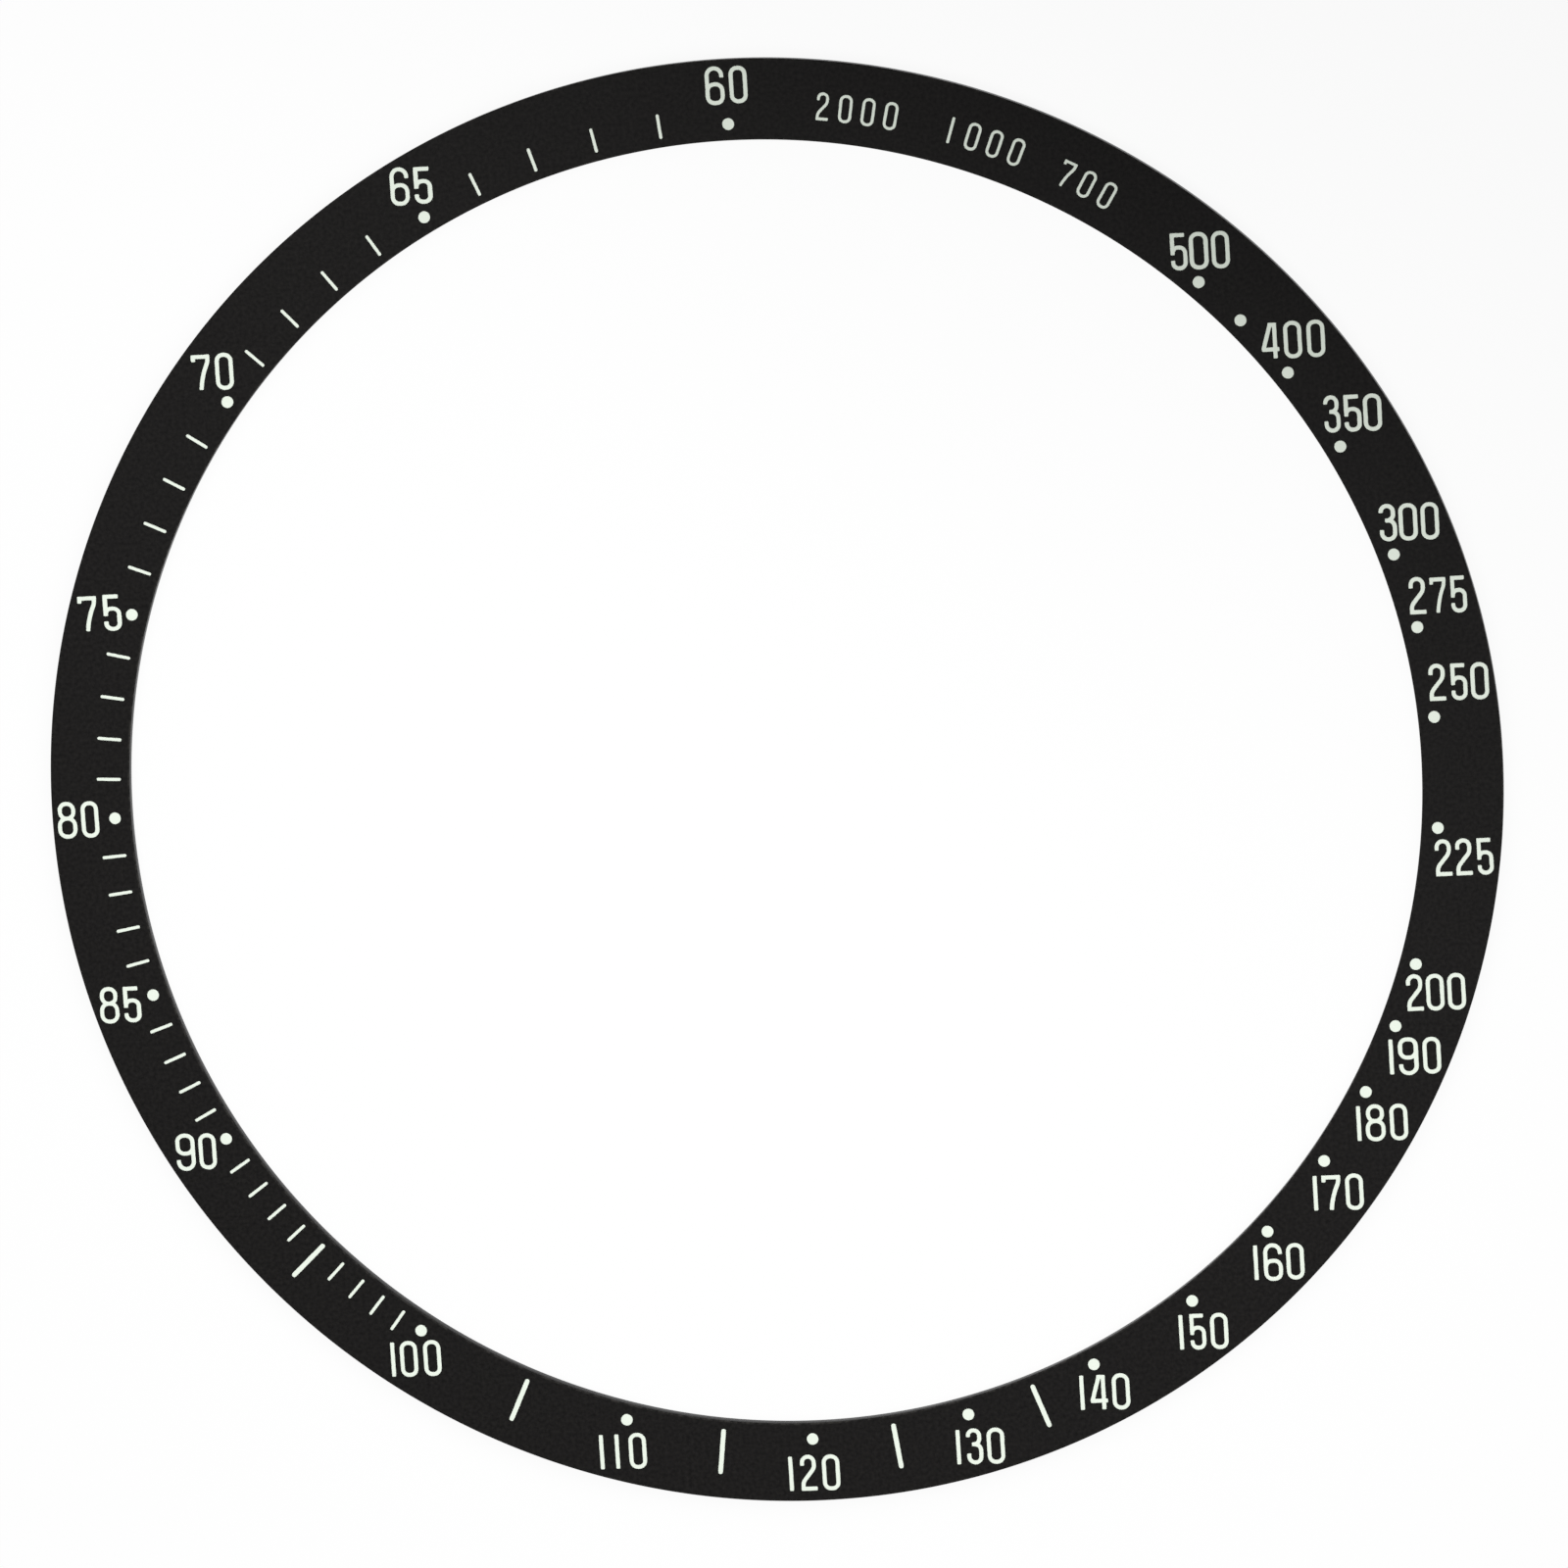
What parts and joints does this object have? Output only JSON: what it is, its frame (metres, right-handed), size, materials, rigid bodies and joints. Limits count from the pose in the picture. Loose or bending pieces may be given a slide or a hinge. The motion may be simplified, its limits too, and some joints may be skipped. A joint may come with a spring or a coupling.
{
  "type": "tachymeter bezel insert",
  "caption": "Flat black anodised aluminium ring with a white tachymeter scale of dots, ticks and figures, and an adhesive back that holds it in a chronograph's bezel.",
  "frame": {"origin": "centre of the ring, at the foot of the adhesive that lies on the bezel's seat", "axes": "+Z out of the face along the ring's axis, +Y towards 60, +X a quarter turn clockwise from it"},
  "size_m": [0.0386, 0.0386, 0.0005],
  "materials": {
    "black_anodised": "satin black anodised aluminium, fine even grain",
    "white_lacquer": "satin white lacquer with a faint green cast",
    "adhesive": "translucent double-sided adhesive film"
  },
  "bodies": {
    "root": {"insert_ring": "black_anodised", "adhesive_ring": "adhesive", "dot_60": "white_lacquer", "dot_65": "white_lacquer", "dot_70": "white_lacquer", "dot_75": "white_lacquer", "dot_80": "white_lacquer", "dot_85": "white_lacquer", "dot_90": "white_lacquer", "dot_100": "white_lacquer", "dot_110": "white_lacquer", "dot_120": "white_lacquer", "dot_130": "white_lacquer", "dot_140": "white_lacquer", "dot_150": "white_lacquer", "dot_160": "white_lacquer", "dot_170": "white_lacquer", "dot_180": "white_lacquer", "dot_190": "white_lacquer", "dot_200": "white_lacquer", "dot_225": "white_lacquer", "dot_250": "white_lacquer", "dot_275": "white_lacquer", "dot_300": "white_lacquer", "dot_350": "white_lacquer", "dot_400": "white_lacquer", "dot_450": "white_lacquer", "dot_500": "white_lacquer", "long_tick_95": "white_lacquer", "long_tick_105": "white_lacquer", "long_tick_115": "white_lacquer", "long_tick_125": "white_lacquer", "long_tick_135": "white_lacquer"}
  },
  "joints": []
}
